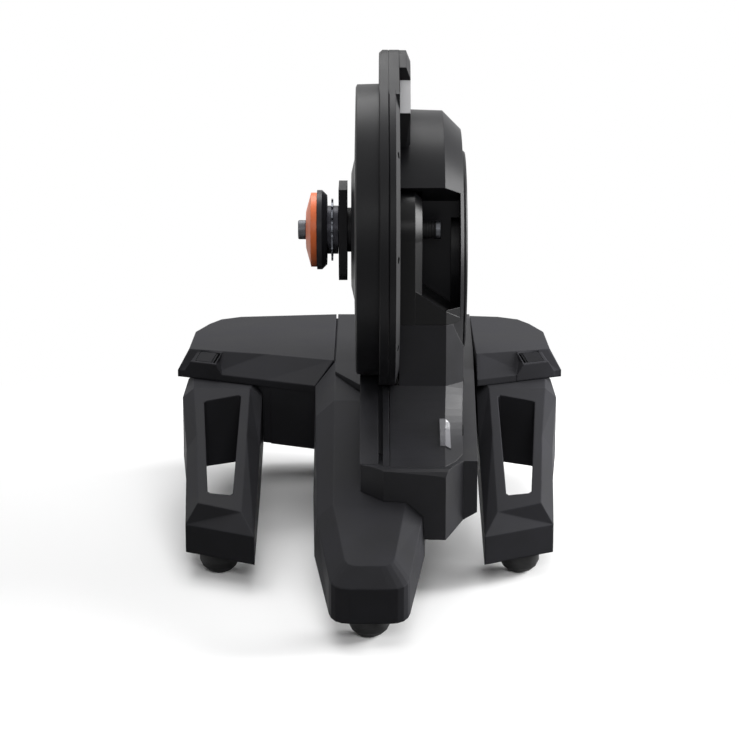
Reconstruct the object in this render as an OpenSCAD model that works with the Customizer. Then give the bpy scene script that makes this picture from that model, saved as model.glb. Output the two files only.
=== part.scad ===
// Direct drive bike trainer, millimetres. The drive side is -X, the front is -Y, the floor is Z = 0.
// Sizes along Y are counted from the axle; the whole model is then shifted so that its box is centred.

/* [Overall] */
// height of the axle above the floor
axle_z = 345; // [342:1:348]
// distance from the axle to the front end of the centre leg
front_reach = 260; // [255:1:265]
// distance from the axle to the rear edge of the base
rear_reach = 361; // [358:1:364]
// half of the width over both arms
arm_reach = 208.5; // [207:0.5:210]
// how far the flat top of an arm stays inside its outer edge
arm_inset = 12; // [10:0.5:14]
// height of the flat top of the arms
deck_z = 173; // [172:0.5:174]
// height of the crease where the front chamfer of the arms starts
chamfer_z = 152; // [151:0.5:154]
// underside of the base castings
belly_z = 82; // [80:1:84]

/* [Feet] */
// radius of a rubber foot
foot_r = 20; // [17:0.5:21]
// height of a rubber foot
foot_h = 25; // [24:0.5:26]
// height of the steep lower part of a rubber foot
foot_round = 7; // [5:0.5:8]
// radius of the flat that stands on the floor
foot_flat_r = 6.5; // [5:0.5:8]
// distance of the front foot in front of the axle
front_foot_y = 222; // [219:1:226]
// distance of the rear foot behind the axle
rear_foot_y = 300; // [290:1:310]
// sideways position of the side feet
side_foot_x = 152; // [149:1:155]
// distance of the side feet in front of the axle
side_foot_y = 38; // [35:1:41]
// radius of the screw that holds a foot
foot_screw_r = 3; // [2.5:0.1:3.5]
// length of the screw above the foot
foot_screw_len = 16; // [12:1:18]

/* [Centre leg] */
// half width of the flat top of the leg
leg_top_w = 36; // [35:0.5:37]
// half width of the leg at its crease, at the root
leg_root_w = 57.5; // [56:0.5:58.5]
// half width of the leg at its crease, at the knee
leg_knee_w = 51; // [49:0.5:52]
// half width of the nose at its crease
leg_nose_w = 35.5; // [34:0.5:37]
// half width of the flat top at the nose
leg_tip_w = 22; // [20:0.5:24]
// how much wider the leg is at the floor side than at its crease
leg_draft = 2.5; // [1:0.5:3]
// height of the flat top at the nose
leg_tip_z = 75.7; // [74:0.1:77]
// height of the crease at the nose
leg_nose_z = 58.7; // [57:0.1:60]
// height of the top where the leg starts to slope down
leg_break_z = 162.5; // [161:0.5:164]
// position of that break behind the axle
leg_break_y = 22.6; // [20:0.2:25]
// width of the bevel at the front of the nose
leg_nose_bevel = 17; // [15:0.5:19]
// corner cut of the nose crease
leg_corner = 17; // [14:0.5:20]
// corner cut of the flat top at the nose
leg_tip_corner = 12; // [9:0.5:14]
// distance of the knee section in front of the axle
leg_knee_y = 150; // [146:1:154]
// height of the top at the knee
leg_knee_top = 106; // [104:0.5:108]
// height of the crease at the knee
leg_knee_z = 92.2; // [90:0.2:94]
// height of the underside at the knee
leg_knee_belly = 54; // [52:0.5:56]
// height of the crease below the break
leg_break_crease = 145.5; // [144:0.5:147]
// distance in front of the axle where the underside starts to slope
leg_belly_y = 44; // [40:1:48]
// rear end of the leg walls behind the axle
leg_root_y = 118; // [117:0.5:119]
// rear end of the flat top behind the axle
leg_mitre_y = 145; // [143:0.5:147]

/* [Base] */
// half width of the spine on the drive side
spine_x = 36; // [35:0.5:37]
// thickness of the plate on top of the spine
plate_t = 7; // [6:0.5:8]
// thickness of the plate where it lies on the leg
plate_skin = 1.2; // [1:0.1:1.5]
// front corner of the plate behind the axle, drive side
plate_front_y = 100; // [96:1:104]
// front corner of the plate behind the axle, tower side
plate_nose_y = 46; // [43:1:50]
// sideways position of the front corner of the plate
plate_nose_x = 10; // [9:0.5:11]
// height of the top strip beside the tower at its front end
strip_front_z = 140; // [139:0.5:141]
// distance of that front end in front of the axle
strip_front_y = 118; // [116:1:120]
// width of the base to the tower side at the front
strip_front_x = 105; // [103:0.5:107]
// width of the base to the tower side at the rear
strip_rear_x = 115; // [114:0.5:116]
// underside of the tower base beside the leg
skirt_belly_z = 70; // [68:1:72]
// underside of the tower base at its outer corner
skirt_corner_z = 88; // [86:1:90]
// distance of the skirt in front of the axle
skirt_y = 150; // [147:0.5:152]
// half width of the rear strut
strut_w = 30; // [26:1:34]
// length of the rear strut on the floor side
strut_len = 62; // [56:1:68]

/* [Arms] */
// sideways position of the leg pivots
pivot_x = 150; // [149:0.5:151]
// position of the leg pivots behind the axle
pivot_y = 255; // [253:0.5:257]
// radius of a pivot pin
pin_r = 10; // [8:0.25:11]
// clearance between a pivot pin and its leg
pin_gap = 0.05; // [0.02:0.01:0.1]
// underside of the cap that covers the side leg
cap_z = 144.7; // [144.5:0.1:145.5]
// sideways position of the box wall beside the side leg
box_x = 106; // [105:0.25:106.5]
// thickness of the lower flange that carries the pin
flange_t = 9; // [7:0.5:11]
// radius of the lower flange round the pin
flange_r = 30; // [26:1:32]
// width of the dark seam beside the spine
seam = 2; // [1:0.25:2.5]

/* [Side legs] */
// radius of the root of a side leg
root_r = 42; // [40:0.5:42.5]
// top of the root of a side leg
root_top = 144.2; // [143.6:0.1:144.4]
// underside of the root of a side leg
root_z = 85; // [84:0.25:86]
// height of the crease at the toe
toe_crease_z = 54; // [52:0.5:56]
// height of the edge where the toe bevel meets the sloping face
toe_top_z = 74; // [72:0.5:76]
// position of the lip behind the axle
lip_y = 139; // [137:0.5:141]
// front end of the window in front of the axle
window_front_y = 37; // [35:0.5:39]
// rear end of the window behind the axle
window_rear_y = 121; // [118:0.5:124]
// corner cut of the window
window_corner = 2.5; // [2:0.25:4]

/* [Latches] */
// distance from the outer side of an arm to the middle of its latch pad
pad_inset = 28.5; // [27:0.5:30]
// run of the sloping ends of the latch pad
pad_slope = 8; // [6:0.5:9]
// length of the latch pad along the lip
pad_len = 30; // [28:0.5:31]
// height of the front edge of the latch pad
pad_z = 163; // [162:0.5:165]
// depth of the sloping top of the latch pad
pad_run = 19; // [17:0.5:20]
// length of a latch button along the lip
button_len = 21; // [19:0.5:22]
// depth of a latch button
button_run = 15; // [13:0.5:16]
// thickness of a latch button
button_t = 6; // [5:0.5:7]
// clearance round a latch button
button_gap = 0.4; // [0.3:0.05:0.5]
// width of the finger gap beside a latch button
finger_gap = 3; // [2:0.5:3.5]
// how far a latch button goes in
button_travel = 4.5; // [4.5:0.5:5]
// radius of a latch bolt
bolt_r = 4; // [3:0.25:4.5]
// clearance round a latch bolt
bolt_gap = 0.05; // [0.03:0.01:0.1]
// how far a latch bolt reaches into its leg
bolt_grip = 8; // [6:0.5:8.5]
// sideways position of a latch bolt
bolt_x = 152; // [150:0.5:154]
// position of a latch bolt behind the axle
bolt_y = 192; // [188:0.5:194]
// length of a latch bolt
bolt_len = 18; // [14:1:20]

/* [Tower] */
// inner side of the tower shell
tower_in_x = 20; // [19.5:0.25:20.5]
// start of the tower chamfer
tower_edge_x = 76; // [75:0.25:77]
// outer side of the tower shell
tower_out_x = 94; // [93:0.25:95]
// distance of the upright tower face in front of the axle
tower_face_y = 38; // [37.5:0.25:39]
// height of the ledge on top of the tower shell
ledge_z = 256; // [254:0.5:258]
// height where the sweep ends and the upright face starts
sweep_z = 194; // [192:0.5:196]
// width of the mast shell on the drive side
mast_out_x = 9.5; // [9:0.25:10]
// inner end of the mast shell
mast_in_x = 8.5; // [8:0.25:8.8]
// inner end of the narrow strip beside the groove
mast_strip_x = 13; // [12.5:0.25:13.5]

/* [Core] */
// radius of the boss round the axle
boss_r = 38; // [37:0.5:39]
// start of the boss
boss_x0 = 31; // [30:0.5:32]
// front face of the boss
boss_x1 = 45; // [44:0.5:46]
// end of the boss chamfer
boss_x2 = 52; // [51:0.5:52.3]
// height of the rim at the outer corner of the core
band_h = 15; // [13:0.5:17]

/* [Ring and covers] */
// outer radius of the ring
ring_r = 154.8; // [154:0.1:156]
// drive side face of the ring
ring_x0 = 9.4; // [9.2:0.1:9.6]
// seam between the ring halves
ring_x1 = 18.7; // [18.4:0.1:19]
// end of the straight rim of the ring cover
ring_x2 = 25.2; // [24.8:0.1:25.6]
// end of the conical rim of the ring cover
ring_x3 = 29.1; // [28.6:0.1:29.4]
// radius at the end of the conical rim
ring_cone_r = 140; // [138:0.5:142]
// bevel at the seam of the ring
ring_bevel = 0.8; // [0.4:0.1:1.2]
// radius of the pulley cover
cover_r = 144.5; // [143.5:0.1:145.5]
// drive side face of the pulley cover
cover_x = 13.6; // [13:0.1:14]
// radius of the raised centre of the pulley cover
cover_dome_r = 56.5; // [55:0.5:58]
// height of the raised centre of the pulley cover
cover_dome = 4.4; // [3.8:0.1:5]
// wall of the pulley cover
cover_wall = 3; // [2.5:0.1:3.5]
// height of the fin above the flywheel housing
fin_rise = 72; // [70:0.5:74]
// chamfer on the top edge of the fin
fin_chamfer = 4; // [3:0.25:5]
// thickness of the thick part of the grip
grip_t = 11.4; // [10:0.2:12]
// width of the chamfer on the top of the grip
grip_chamfer = 4.4; // [3:0.2:6]
// length of the hand opening
hand_len = 66; // [60:1:70]
// height of the hand opening
hand_h = 26; // [22:0.5:28]

/* [Flywheel housing] */
// position of the flywheel axis behind the axle
drum_y = 108; // [107:0.5:109]
// lowest point of the flywheel housing
drum_low_z = 156; // [155:0.5:157]
// radius of the flywheel housing
drum_r = 146; // [145:0.5:147]
// start of the chamfer of the housing
drum_edge_x = 75; // [74:0.5:76]
// outer side of the housing
drum_out_x = 94; // [93:0.25:95]
// radius of the round flywheel cover
lid_r = 103; // [100:0.5:106]
// outer side of the flywheel cover
lid_x = 98.5; // [97:0.25:100]
// outer side of the dropout recess
recess_x = 90.4; // [89.6:0.1:91]
// rear wall of the dropout recess behind the axle
recess_y = 25; // [24:0.5:26]
// floor of the dropout recess at the boss
recess_z = 290; // [288:0.5:292]
// floor of the dropout recess at its outer side
recess_low_z = 260.5; // [259:0.5:262]

/* [Axle group] */
// half of the distance over the axle ends
axle_half = 71; // [70.5:0.1:71.5]
// radius of the through bore for the bike axle
thru_r = 6.05; // [6.03:0.01:6.1]
// outer radius of the hollow axle
axle_r = 8.4; // [8:0.1:8.8]
// radius of the end caps
end_cap_r = 9.5; // [9:0.1:10]
// inner end of the left end cap
left_cap_x = 63.4; // [63.2:0.1:64]
// inner end of the right end cap
right_cap_x = 66; // [65:0.1:67]
// inner end of the right spacer
spacer_x = 52.5; // [52.3:0.1:53]
// radius of the right spacer
spacer_r = 9; // [8.8:0.1:9.2]
// number of grooves in the right spacer
spacer_grooves = 4; // [3:1:5]
// running clearance of turning parts
run_gap = 0.3; // [0.2:0.05:0.4]

/* [Cog set] */
// middle of the cog
cog_x = 37; // [36.5:0.1:37.5]
// number of teeth of the cog
cog_teeth = 14; // [12:1:16]
// radius over the teeth of the cog
cog_r = 31; // [30:0.25:32]
// thickness of the cog
cog_t = 1.8; // [1.5:0.1:2.2]
// radius of the freehub body
freehub_r = 17; // [16:0.25:18]
// radius of the spacer beside the cog
cog_spacer_r = 24; // [23:0.25:25]
// radius of the guard disc
guard_r = 39.5; // [39:0.25:40]
// outer side of the guard disc
guard_x0 = 52; // [51.5:0.1:52.5]
// inner side of the guard disc
guard_x1 = 42; // [41.5:0.1:42.5]
// radius of the cap disc
cap_r = 36.9; // [36:0.1:37.5]
// outer side of the cap disc
cap_x = 63; // [62.8:0.1:63.1]
// inner radius of the cone of the cap disc
cap_small_r = 18.5; // [17.5:0.25:19.5]
// start of the inner guard
inner_x0 = 30.5; // [30:0.1:31]
// end of the inner guard
inner_x1 = 22; // [21.5:0.1:22.5]
// upper reach of the inner guard
inner_top = 45; // [44:0.25:46]
// lower reach of the inner guard
inner_low = 50.6; // [50:0.2:51.5]
// half width of the inner guard
inner_w = 26; // [24:0.5:28]
// radius of the neck behind the inner guard
neck_r = 22; // [21.5:0.1:22.5]

/* [Drive] */
// radius of the hub shell
hub_r = 15; // [14.5:0.1:15.5]
// outer end of the hub shell, tower side
hub_x = 44; // [43:0.5:45]
// radius of the hub bearings
hub_bearing_r = 26; // [24:0.5:27]
// radius of the big pulley
big_r = 88; // [84:0.5:90]
// radius of the small pulley
small_r = 14; // [13:0.25:15]
// thickness of the belt
belt_t = 2.2; // [1.8:0.1:2.5]
// width of the belt
belt_w = 12; // [10:0.5:13]
// middle of the belt, tower side of the middle plane is positive
belt_x = -1; // [-1.5:0.1:-0.5]
// radius of the idler
idler_r = 10; // [9:0.25:11]
// radius of the flywheel
wheel_r = 74; // [70:0.5:75]
// outer side of the flywheel
wheel_x1 = 74; // [70:0.5:75]
// inner side of the flywheel
wheel_x0 = 36; // [35:0.5:40]
// radius of the flywheel shaft
shaft_r = 8; // [7:0.25:8.5]
// radius of the flywheel bearings
wheel_bearing_r = 17; // [16:0.25:18]

/* [Small pieces] */
// radius of the power socket
socket_r = 6; // [5:0.25:7]
// radius of the hole for the plug
plug_r = 2.75; // [2.5:0.05:3]
// height of the power socket
socket_z = 152; // [151:0.5:153]
// distance of the power socket in front of the axle
socket_y = 50; // [48:0.5:52]
// length of the status light
light_len = 35; // [33:0.5:37]
// width of the status light
light_w = 10.5; // [9:0.5:11]
// radius of the ring screw heads
ring_screw_r = 3.4; // [3:0.1:3.8]
// number of ring screws
ring_screws_n = 9; // [9:1:9]
// thickness of the control board
board_t = 1.6; // [1.2:0.1:2]

/* [Hidden] */
shift_y = (front_reach - rear_reach) / 2;
round_fn = 128;
small_fn = 48;
corner_steps = 4;
eps = 0.01;
drum_z = drum_low_z + drum_r;
fin_z = drum_z + drum_r + fin_rise;
pad_x = arm_reach - pad_inset;

// helpers

module placed() {
    translate([0, shift_y, 0]) children();
}

module at_axle() {
    placed() translate([0, 0, axle_z]) children();
}

// outline given as [y, z], run along x
module prism_x(pts, x0, x1) {
    translate([x0, 0, 0]) rotate([90, 0, 90]) linear_extrude(x1 - x0) polygon(pts);
}

// outline given as [x, z], run along y
module prism_y(pts, y0, y1) {
    translate([0, y1, 0]) rotate([90, 0, 0]) linear_extrude(y1 - y0) polygon(pts);
}

// outline given as [x, y], run along z
module prism_z(pts, z0, z1) {
    translate([0, 0, z0]) linear_extrude(z1 - z0) polygon(pts);
}

module disc(r, x0, x1, fn = round_fn) {
    translate([x0, 0, 0]) rotate([0, 90, 0]) cylinder(h = x1 - x0, r = r, $fn = fn);
}

module tube(r_out, r_in, x0, x1, fn = round_fn) {
    difference() {
        disc(r_out, x0, x1, fn);
        disc(r_in, x0 - 1, x1 + 1, fn);
    }
}

// outline given as [radius, x], turned about the x axis
module turned_x(pts, fn = round_fn) {
    rotate([0, 90, 0]) rotate_extrude($fn = fn) polygon(pts);
}

function mix(a, b, t) = a + (b - a) * t;
function both_sides(half) = concat(half, [for (i = [len(half) - 1:-1:0]) [-half[i][0], half[i][1], half[i][2]]]);

// corner between a and c, cut back by d and rounded
function corner(a, b, c, d) =
    let (p = b + (a - b) * d / norm(a - b), q = b + (c - b) * d / norm(c - b))
    [for (i = [0:corner_steps]) let (t = i / corner_steps)
        p * (1 - t) * (1 - t) + b * 2 * t * (1 - t) + q * t * t];

// closed skin through loops of equal length, first loop at the bottom, loops run clockwise from above
module skin(loops) {
    n = len(loops[0]);
    m = len(loops);
    half = floor(n / 2);
    points = [for (l = loops) each l];
    sides = [for (j = [0:m - 2]) for (i = [0:n - 1]) let (k = (i + 1) % n)
        each [[j * n + i, (j + 1) * n + k, (j + 1) * n + i], [j * n + i, j * n + k, (j + 1) * n + k]]];
    floor_caps = [for (i = [0:half - 2]) each [[i, n - 2 - i, i + 1], [i, n - 1 - i, n - 2 - i]]];
    top = (m - 1) * n;
    top_caps = [for (i = [0:half - 2])
        each [[top + i, top + i + 1, top + n - 2 - i], [top + i, top + n - 2 - i, top + n - 1 - i]]];
    polyhedron(points, concat(sides, floor_caps, top_caps));
}

// centre leg

leg_slope = (leg_break_z - leg_knee_top) / (leg_break_y + leg_knee_y);
leg_nose_belly = foot_h;
leg_belly_top = leg_break_z - leg_slope * (leg_break_y + leg_belly_y);
leg_belly_mix = (leg_break_y + leg_belly_y) / (leg_break_y + leg_knee_y);

function leg_top_half(g) =
    let (tip_y = -front_reach + leg_nose_bevel,
        a = [leg_top_w - 1.3 + g, -leg_knee_y, leg_knee_top + g],
        b = [leg_tip_w + g, tip_y - g, leg_tip_z + g],
        c = [0, tip_y - g, leg_tip_z + g])
    concat([[leg_top_w + g, leg_mitre_y + 2 * g, deck_z + g],
        [leg_top_w + g, leg_break_y, leg_break_z + g],
        [leg_top_w - 0.5 + g, -leg_belly_y, leg_belly_top + g], a],
        corner(a, b, c, leg_tip_corner));

function leg_crease_half(g) =
    let (a = [leg_knee_w + g, -leg_knee_y, leg_knee_z + g],
        b = [leg_nose_w + g, -front_reach - g, leg_nose_z + g],
        c = [0, -front_reach - g, leg_nose_z + g])
    concat([[leg_root_w + g, leg_root_y + 2 * g, chamfer_z + g],
        [leg_root_w - leg_draft + g, leg_break_y, leg_break_crease + g],
        [mix(leg_root_w - leg_draft, leg_knee_w, leg_belly_mix) + g, -leg_belly_y,
            mix(leg_break_crease, leg_knee_z, leg_belly_mix) + g], a],
        corner(a, b, c, leg_corner));

function leg_floor_half(g) =
    let (a = [leg_knee_w + leg_draft + g, -leg_knee_y, leg_knee_belly - g],
        b = [leg_nose_w + g, -front_reach - g, leg_nose_belly - g],
        c = [0, -front_reach - g, leg_nose_belly - g])
    concat([[leg_root_w + g, leg_root_y + 2 * g, belly_z - g],
        [leg_root_w + g, leg_break_y, belly_z - g],
        [leg_root_w - 1 + g, -leg_belly_y, belly_z - g], a],
        corner(a, b, c, leg_corner));

module leg_shape(g) {
    skin([both_sides(leg_floor_half(g)), both_sides(leg_crease_half(g)), both_sides(leg_top_half(g))]);
}

trough_x = boss_x0 - 3;

module drum_trough(r) {
    translate([0, drum_y, drum_z]) disc(r, trough_x, spine_x + 30);
}

module front_leg() {
    color("#3c3c40") placed() {
        difference() {
            union() {
                leg_shape(0);
                translate([0, -front_foot_y, foot_h]) cylinder(h = foot_h, r = foot_r + 1, $fn = small_fn);
            }
            plate_layer(deck_z - plate_skin, deck_z + 1);
            drum_trough(drum_r + run_gap);
            translate([0, -front_foot_y, 0]) cylinder(h = foot_h + foot_screw_len, r = foot_screw_r, $fn = small_fn);
        }
    }
}

// base

strip_join_x = leg_root_w + run_gap;

module base_body() {
    color("#37373b") placed() {
        difference() {
            union() {
                prism_z([[-spine_x, rear_reach], [strip_join_x, rear_reach], [strip_join_x, leg_root_y],
                    [-spine_x, leg_root_y]], belly_z, deck_z - plate_t);
                prism_y([[-strut_w, belly_z + 1], [strut_w, belly_z + 1], [strut_w - 8, foot_h], [8 - strut_w, foot_h]],
                    rear_reach - strut_len - 22, rear_reach - 8);
            }
            leg_shape(run_gap);
            drum_trough(drum_r + run_gap);
            translate([0, rear_foot_y, 0]) cylinder(h = foot_h + foot_screw_len, r = foot_screw_r, $fn = small_fn);
        }
    }
}

module plate_layer(z0, z1) {
    prism_z([[-spine_x, rear_reach], [strip_join_x, rear_reach], [strip_join_x, drum_y + 72],
        [trough_x - run_gap, drum_y + 72], [trough_x - run_gap, plate_nose_y],
        [-plate_nose_x, plate_nose_y], [-spine_x, plate_front_y]], z0, z1);
}

module top_plate() {
    color("#4c4c50") placed() {
        difference() {
            union() {
                plate_layer(deck_z - plate_skin, deck_z);
                difference() {
                    plate_layer(deck_z - plate_t, deck_z - plate_skin + eps);
                    leg_shape(0);
                }
            }
            drum_trough(drum_r + run_gap);
        }
    }
}

module tower_base() {
    color("#2c2c30") placed() {
        difference() {
            intersection() {
                prism_z([[-8.6, -130], [13.6, -146], [73.3, -skirt_y], [91.4, -strip_front_y],
                    [strip_front_x, -strip_front_y], [strip_front_x + 1.8, -59], [strip_rear_x - 4.2, 104],
                    [strip_rear_x - 1.1, 222], [strip_rear_x, rear_reach - 34], [strip_rear_x, rear_reach],
                    [strip_join_x, rear_reach], [strip_join_x, leg_root_y], [leg_root_w, 60], [-8.6, 40]],
                    skirt_belly_z, deck_z);
                prism_x([[-skirt_y - 1, skirt_belly_z], [-skirt_y - 1, strip_front_z - 10],
                    [-skirt_y + 0.8, strip_front_z - 5.5], [-skirt_y + 3.5, strip_front_z - 2.5],
                    [-skirt_y + 7.5, strip_front_z - 0.7], [-skirt_y + 12, strip_front_z],
                    [-strip_front_y, strip_front_z], [rear_reach - 21, deck_z], [rear_reach, deck_z],
                    [rear_reach, skirt_belly_z]], -20, strip_rear_x + 1);
                prism_y([[-20, skirt_belly_z], [74, skirt_belly_z], [strip_front_x, skirt_corner_z],
                    [strip_rear_x + 1, skirt_corner_z], [strip_rear_x + 1, deck_z], [-20, deck_z]],
                    -skirt_y - 1, rear_reach);
            }
            leg_shape(run_gap);
            // room for the root of the side leg
            translate([box_x + run_gap, 180, skirt_belly_z - 1]) cube([20, rear_reach - 179, cap_z - skirt_belly_z + 1]);
            prism_z([[-40, leg_root_y], [-40, rear_reach + 1], [strip_join_x, rear_reach + 1],
                [strip_join_x, leg_root_y]], 0, deck_z + 1);
            drum_trough(drum_r + run_gap);
            translate([0, drum_y, drum_z]) disc(drum_r + run_gap, trough_x, drum_out_x + 6);
            prism_z([[-40, plate_nose_y - run_gap], [-40, plate_nose_y + 80], [spine_x + run_gap, plate_nose_y + 80],
                [spine_x + run_gap, plate_nose_y - run_gap]], deck_z - plate_t - run_gap, deck_z + 1);
        }
    }
}

// arms, drawn for +X and mirrored for the drive side

lip_slope = 0.454;
function low_front(x) = 118.6 + lip_slope * (x - 57);
function top_front(x) = x < 112 ? mix(leg_mitre_y, 174, (x - 36) / 76)
    : x < 171 ? mix(174, 190, (x - 112) / 59) : mix(190, 197, (x - 171) / 24);
function back_y(x) = mix(rear_reach, rear_reach - 12, (x - spine_x) / 112);

function arm_rear(inner) = [[inner, back_y(inner)], [148, rear_reach - 12], [171.6, 338], [186, 316],
    [arm_reach - 11, 275], [arm_reach, 187]];

function arm_rear_top(inner) = [[inner, back_y(inner)], [147, rear_reach - 13], [169, 335.5], [181, 314],
    [arm_reach - arm_inset - 2, 275], [arm_reach - arm_inset, top_front(arm_reach - arm_inset) + 1]];

function arm_bend(inner) = max(112, inner + 4);

function arm_low(inner) = concat(arm_rear(inner),
    [[arm_reach - 2, low_front(arm_reach - 2)], [171, low_front(171)], [arm_bend(inner), low_front(arm_bend(inner))]],
    inner < 60 ? [[58, low_front(58)], [inner, leg_mitre_y]]
        : [[inner + 1, low_front(inner + 1)], [inner, low_front(inner)]]);
function arm_top(inner) = concat(arm_rear_top(inner),
    [[arm_reach - arm_inset - 2, top_front(arm_reach - arm_inset - 2)], [171, top_front(171)],
        [arm_bend(inner), top_front(arm_bend(inner))]],
    inner < 60 ? [[inner + 1, leg_mitre_y + 2], [inner, leg_mitre_y + 2.5]]
        : [[inner + 1, top_front(inner + 1)], [inner, top_front(inner)]]);
function at_z(pts, z) = [for (p = pts) [p[0], p[1], z]];

// plain closed skin for flat loops
module flat_skin(loops) {
    n = len(loops[0]);
    m = len(loops);
    points = [for (l = loops) each l];
    sides = [for (j = [0:m - 2]) for (i = [0:n - 1]) let (k = (i + 1) % n)
        each [[j * n + i, (j + 1) * n + k, (j + 1) * n + i], [j * n + i, j * n + k, (j + 1) * n + k]]];
    polyhedron(points, concat(sides, [[for (i = [n - 1:-1:0]) i]], [[for (i = [0:n - 1]) (m - 1) * n + i]]));
}

// frame of a latch pad: x along the lip, y inward, origin on the lip at the floor
module at_pad() {
    translate([pad_x, low_front(pad_x), 0]) rotate([0, 0, atan(lip_slope)]) children();
}

flange_z = root_z - run_gap;
cheek_x = 114.6;
pad_tilt = atan((deck_z - pad_z) / pad_run);

// frame of a latch button: x along the lip, y up the slope, z away from the pad
module at_button() {
    at_pad() translate([0, 0, pad_z]) rotate([pad_tilt, 0, 0]) translate([0, 2.5, 0]) children();
}

module arm(inner) {
    difference() {
        union() {
            flat_skin([at_z(arm_low(inner), cap_z), at_z(arm_low(inner), chamfer_z), at_z(arm_top(inner), deck_z)]);
            // box beside the side leg, left away where the arm starts outside of it
            if (inner < box_x) {
                prism_z([[inner, back_y(inner) - 2], [box_x, back_y(box_x) - 2],
                    [box_x, low_front(box_x) + 0.3], [58, low_front(58) + 0.3],
                    [inner + 0.5, leg_mitre_y + 1]], belly_z, cap_z);
                // cheek that closes the box towards the side leg
                prism_z([[box_x - 1, low_front(box_x) + 0.6], [cheek_x, low_front(cheek_x) + 0.6],
                    [cheek_x, bolt_y], [box_x - 1, bolt_y]], belly_z + 0.4, cap_z + 0.5);
                // curved corner between the cheek and the cap
                intersection() {
                    prism_y([[cheek_x - 1, 120], [cheek_x, 120], [cheek_x, 134], [cheek_x + 2, 139],
                        [cheek_x + 6.5, cap_z + 0.5], [cheek_x - 1, cap_z + 0.5]], lip_y, lip_y + 16);
                    prism_z([[cheek_x - 1, low_front(cheek_x) + 0.9], [cheek_x + 8, low_front(cheek_x + 8) + 0.9],
                        [cheek_x + 8, lip_y + 16], [cheek_x - 1, lip_y + 16]], 119, cap_z + 1);
                }
            }
            prism_z([[inner + 1, back_y(inner) - 3], [pivot_x, back_y(pivot_x) - 30],
                [pivot_x, pivot_y - flange_r + 6], [inner + 1, pivot_y - flange_r - 8]],
                flange_z - flange_t, flange_z);
            translate([pivot_x, pivot_y, flange_z - flange_t]) cylinder(h = flange_t, r = flange_r, $fn = small_fn);
            // wall behind the root of the leg
            prism_z([[inner + 1.5, back_y(inner) - 4], [148, rear_reach - 18], [162, pivot_y + root_r + 16],
                [160, pivot_y + root_r + 2], [inner + 1.5, pivot_y + root_r + 2]],
                flange_z - flange_t / 2, cap_z + 1);
            at_pad() intersection() {
                prism_x([[-0.3, cap_z + 1], [-0.3, pad_z - 0.16], [pad_run - 0.5, deck_z - 0.26],
                    [pad_run - 0.5, cap_z + 1]], -pad_len / 2 - pad_slope, pad_len / 2 + pad_slope);
                prism_y([[-pad_len / 2 - pad_slope, cap_z], [-pad_len / 2 - pad_slope, chamfer_z],
                    [-pad_len / 2, pad_z + 1], [-pad_len / 2 + 1, deck_z + 1], [pad_len / 2 - 1, deck_z + 1],
                    [pad_len / 2, pad_z + 1], [pad_len / 2 + pad_slope, chamfer_z],
                    [pad_len / 2 + pad_slope, cap_z]], -1, pad_run);
            }
        }
        translate([pivot_x, pivot_y, root_z - 20]) cylinder(h = deck_z - root_z + 8, r = pin_r, $fn = small_fn);
        translate([bolt_x, bolt_y, 0]) cylinder(h = deck_z - 4, r = bolt_r + bolt_gap, $fn = small_fn);
        at_button() translate([-button_len / 2 - finger_gap, -button_gap, -button_t - button_travel - 2])
            cube([button_len + finger_gap + button_gap, button_run + 2 * button_gap, button_t + button_travel + 20]);
    }
}

module left_arm() {
    color("#48484c") placed() mirror([1, 0, 0]) {
        arm(spine_x + seam);
        // floor of the seam beside the spine
        prism_z([[spine_x, leg_mitre_y + 3], [spine_x, rear_reach - 4], [spine_x + seam + 1, rear_reach - 4],
            [spine_x + seam + 1, leg_mitre_y + 3]], belly_z + 10, deck_z - 4);
    }
}

module right_arm() {
    color("#48484c") placed() arm(strip_rear_x + 0.3);
}

// tower

sweep_steps = 12;
sweep_foot = [12 - skirt_y, strip_front_z];
sweep_bend = [-66, 153];
sweep_head = [-tower_face_y, sweep_z];
sweep = concat([sweep_foot - [0, 4]],
    [for (i = [0:sweep_steps]) let (t = i / sweep_steps)
        sweep_foot * (1 - t) * (1 - t) + sweep_bend * 2 * t * (1 - t) + sweep_head * t * t],
    [[-tower_face_y, ledge_z]]);

function sweep_loop(p) =
    let (t = min(1, max(0, (p[1] - strip_front_z) / (sweep_z - strip_front_z))),
        edge = mix(73.3, tower_edge_x, t), out = mix(91.4, tower_out_x, t), back = mix(32, 18, t))
    [[tower_in_x, 60, p[1]], [out, 60, p[1]], [out, p[0] + back, p[1]], [edge, p[0], p[1]],
        [tower_in_x, p[0], p[1]]];

module below_strip() {
    prism_x([[-skirt_y - 5, 0], [-skirt_y - 5, strip_front_z], [-strip_front_y, strip_front_z],
        [rear_reach - 21, deck_z], [rear_reach, 0]], -50, 150);
}

module tower_shell() {
    color("#262629") placed() {
        difference() {
            flat_skin([for (p = sweep) sweep_loop(p)]);
            below_strip();
            leg_shape(run_gap);
            translate([0, drum_y, drum_z]) disc(drum_r + run_gap, trough_x, drum_out_x + 6);
            prism_x([[-56, 164], [-44, 178.5], [-36, 186], [-6, 186], [-6, 164]], 26, 70);
            prism_z([[tower_in_x - 1, plate_nose_y - run_gap], [tower_in_x - 1, 70], [spine_x + run_gap, 70],
                [spine_x + run_gap, plate_nose_y - run_gap]], deck_z - plate_t - run_gap, deck_z + run_gap);
            translate([0, 0, axle_z]) disc(ring_r + run_gap, tower_in_x - 1, ring_x3 + run_gap);
            translate([tower_out_x - 14, -socket_y, socket_z]) rotate([0, 90, 0])
                cylinder(h = 20, r = socket_r, $fn = small_fn);
        }
    }
}

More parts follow.
